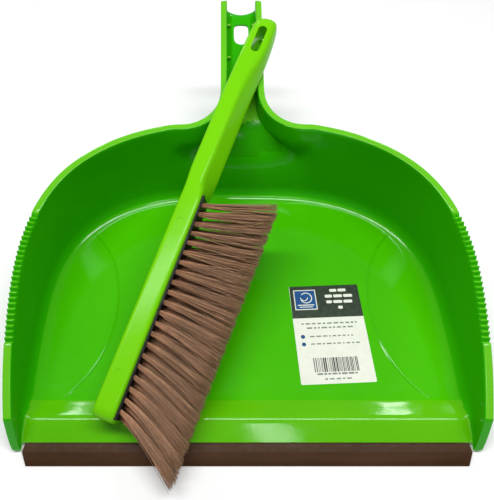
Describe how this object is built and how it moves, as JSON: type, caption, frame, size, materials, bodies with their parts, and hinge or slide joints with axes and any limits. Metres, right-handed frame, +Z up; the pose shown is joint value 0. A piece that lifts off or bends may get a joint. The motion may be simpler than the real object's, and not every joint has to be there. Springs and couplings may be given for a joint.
{
  "type": "dust pan and brush set",
  "caption": "Wide dust pan with a rubber lip, toothed grip rims and a trough handle with a hanging hole, and a hand brush laid across it, with staggered rows of leaning tufts.",
  "frame": {"origin": "middle of the tray's flat underside, on the surface the pan stands on", "axes": "+Y from the lip towards the handle, +Z up, +X to the right as the pan is seen from its lip"},
  "size_m": [0.4, 0.4773, 0.1349],
  "materials": {
    "lime_plastic": "glossy injection moulding",
    "lip_rubber": "dark brown, satin",
    "label_paper": "printed coated paper",
    "black_plastic": "matte",
    "anchor_wire": "drawn wire",
    "bristles": "fine synthetic filaments"
  },
  "bodies": {
    "pan": {"dustpan_body": "lime_plastic", "rubber_lip": "lip_rubber", "product_label": "label_paper"},
    "brush": {"brush_handle": "lime_plastic", "tuft_plate": "black_plastic", "tuft_anchors": "anchor_wire", "tufts_01": "bristles", "tufts_02": "bristles", "tufts_03": "bristles", "tufts_04": "bristles", "tufts_05": "bristles", "tufts_06": "bristles", "tufts_07": "bristles", "tufts_08": "bristles", "tufts_09": "bristles", "tufts_10": "bristles", "tufts_11": "bristles", "tufts_12": "bristles", "tufts_13": "bristles", "tufts_14": "bristles", "tufts_15": "bristles", "tufts_16": "bristles", "tufts_17": "bristles", "tufts_18": "bristles", "tufts_19": "bristles", "tufts_20": "bristles", "tufts_21": "bristles"}
  },
  "joints": [
    {"name": "brush_lift", "type": "slide", "parent": "pan", "child": "brush", "axis": [0, 0, 1], "range_m": [0, 0.2]}
  ]
}
